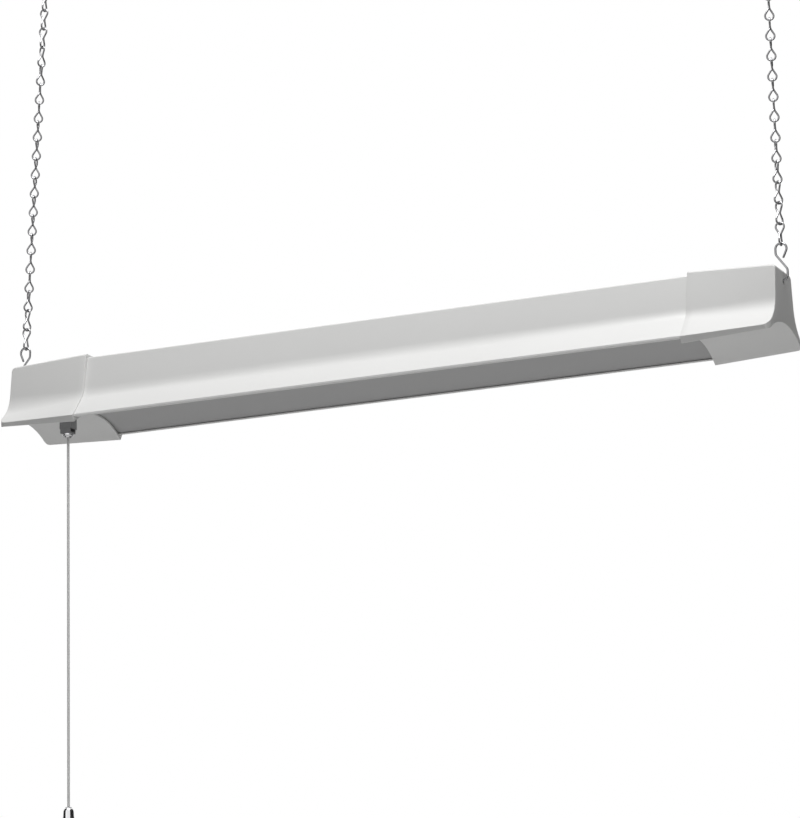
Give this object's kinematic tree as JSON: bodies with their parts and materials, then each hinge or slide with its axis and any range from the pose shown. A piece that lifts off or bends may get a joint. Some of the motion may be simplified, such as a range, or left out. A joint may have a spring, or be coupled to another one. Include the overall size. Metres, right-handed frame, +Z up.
{
  "type": "hanging shop light",
  "caption": "Slim white shop light with flared moulded end caps, hung by jack chains and S-hooks from screw hooks and switched by a bell pull cord.",
  "frame": {"origin": "middle point between the two screw hooks' axes, on the ceiling plane that their shanks go through", "axes": "+Z up, along the hooks' shanks; +X along the light towards the plain end; +Y away from the pull cord's side"},
  "size_m": [0.9148, 0.115, 1.0749],
  "materials": {
    "zinc": "bright zinc plate",
    "white_enamel": "smooth white enamel",
    "white_moulding": "semi-gloss white",
    "opal_lens": "frosted opal",
    "plated_screw": "zinc plate",
    "led_board": "white solder mask",
    "led_phosphor": "yellow phosphor",
    "ivory_plastic": "moulded",
    "driver_case": "grey enamel",
    "circuit_board": "green solder mask",
    "transformer_tape": "yellow tape over ferrite",
    "capacitor_sleeve": "dark sleeve",
    "choke_core": "wound copper",
    "brass_contact": "plain brass",
    "grey_bushing": "moulded nylon",
    "green_screw": "green",
    "black_insulation": "smooth",
    "white_insulation": "smooth",
    "green_insulation": "smooth",
    "red_insulation": "smooth",
    "grey_switch": "moulded dark grey",
    "bright_chrome": "polished",
    "braided_cord": "braided nylon"
  },
  "bodies": {
    "ceiling": {"ceiling_hook_left": "zinc", "ceiling_hook_right": "zinc"},
    "hangers": {"upper_s_hook_left": "zinc", "upper_s_hook_right": "zinc"},
    "left_chain": {"chain_left": "zinc", "lower_s_hook_left": "zinc"},
    "right_chain": {"chain_right": "zinc", "lower_s_hook_right": "zinc"},
    "light": {"hood": "white_enamel", "end_cap_left": "white_moulding", "end_cap_right": "white_moulding", "cap_screws": "plated_screw", "lens": "opal_lens", "gear_tray": "white_enamel", "tray_screws": "plated_screw", "led_board_left": "led_board", "led_board_right": "led_board", "leds_left": "led_phosphor", "leds_right": "led_phosphor", "board_screws": "plated_screw", "board_connectors": "ivory_plastic", "driver_base": "driver_case", "driver_cover": "driver_case", "driver_board": "circuit_board", "driver_transformer": "transformer_tape", "driver_capacitors": "capacitor_sleeve", "driver_choke": "choke_core", "driver_screws": "plated_screw", "terminal_block": "ivory_plastic", "terminal_screws": "brass_contact", "inlet_bushing": "grey_bushing", "ground_screw": "green_screw", "live_wire": "black_insulation", "neutral_wire": "white_insulation", "ground_wire": "green_insulation", "switched_wire": "black_insulation", "led_wires": "red_insulation", "switch_body": "grey_switch", "switch_cover": "grey_switch", "switch_bushing": "bright_chrome", "bushing_nut": "bright_chrome", "rotor_pin": "plated_screw", "switch_contacts": "brass_contact", "slider_spring": "plated_screw"},
    "pull": {"pull_slider": "ivory_plastic", "cord_stub": "braided_cord"},
    "rotor": {"switch_rotor": "ivory_plastic"},
    "cord": {"pull_cord": "braided_cord", "cord_knot": "braided_cord", "bell_pull": "bright_chrome"}
  },
  "joints": [
    {"name": "swing_across", "type": "hinge", "parent": "ceiling", "child": "hangers", "pos_m": [0, 0, -0.0234], "axis": [1, 0, 0], "range_deg": [-20, 20]},
    {"name": "left_chain_swing", "type": "hinge", "parent": "hangers", "child": "left_chain", "pos_m": [-0.43472, 0, -0.06035], "axis": [0, 1, 0], "range_deg": [-10, 10]},
    {"name": "right_chain_swing", "type": "hinge", "parent": "hangers", "child": "right_chain", "pos_m": [0.43472, 0, -0.06035], "axis": [0, 1, 0], "range_deg": [-10.1, 10.1]},
    {"name": "light_level", "type": "hinge", "parent": "left_chain", "child": "light", "pos_m": [-0.46308, 0, -0.53785], "axis": [0, 1, 0], "range_deg": [-10, 10]},
    {"name": "switch_pull", "type": "slide", "parent": "light", "child": "pull", "axis": [0, 0, -1], "range_m": [0, 0.006], "stiffness_N_per_m": 400, "springref_m": -0.004, "deforming": ["slider_spring"]},
    {"name": "rotor_turn", "type": "hinge", "parent": "light", "child": "rotor", "pos_m": [-0.38348, -0.0405, -0.60455], "axis": [0, 1, 0], "range_deg": [0, 61]},
    {"name": "cord_swing", "type": "hinge", "parent": "pull", "child": "cord", "pos_m": [-0.38348, -0.0405, -0.62295], "axis": [0, 1, 0], "range_deg": [-20, 20]}
  ],
  "couplings": [
    {"joint": "right_chain_swing", "follows": "left_chain_swing", "ratio": 1},
    {"joint": "light_level", "follows": "left_chain_swing", "ratio": -0.9685},
    {"joint": "rotor_turn", "follows": "switch_pull", "rad_per_m": 174.5}
  ]
}
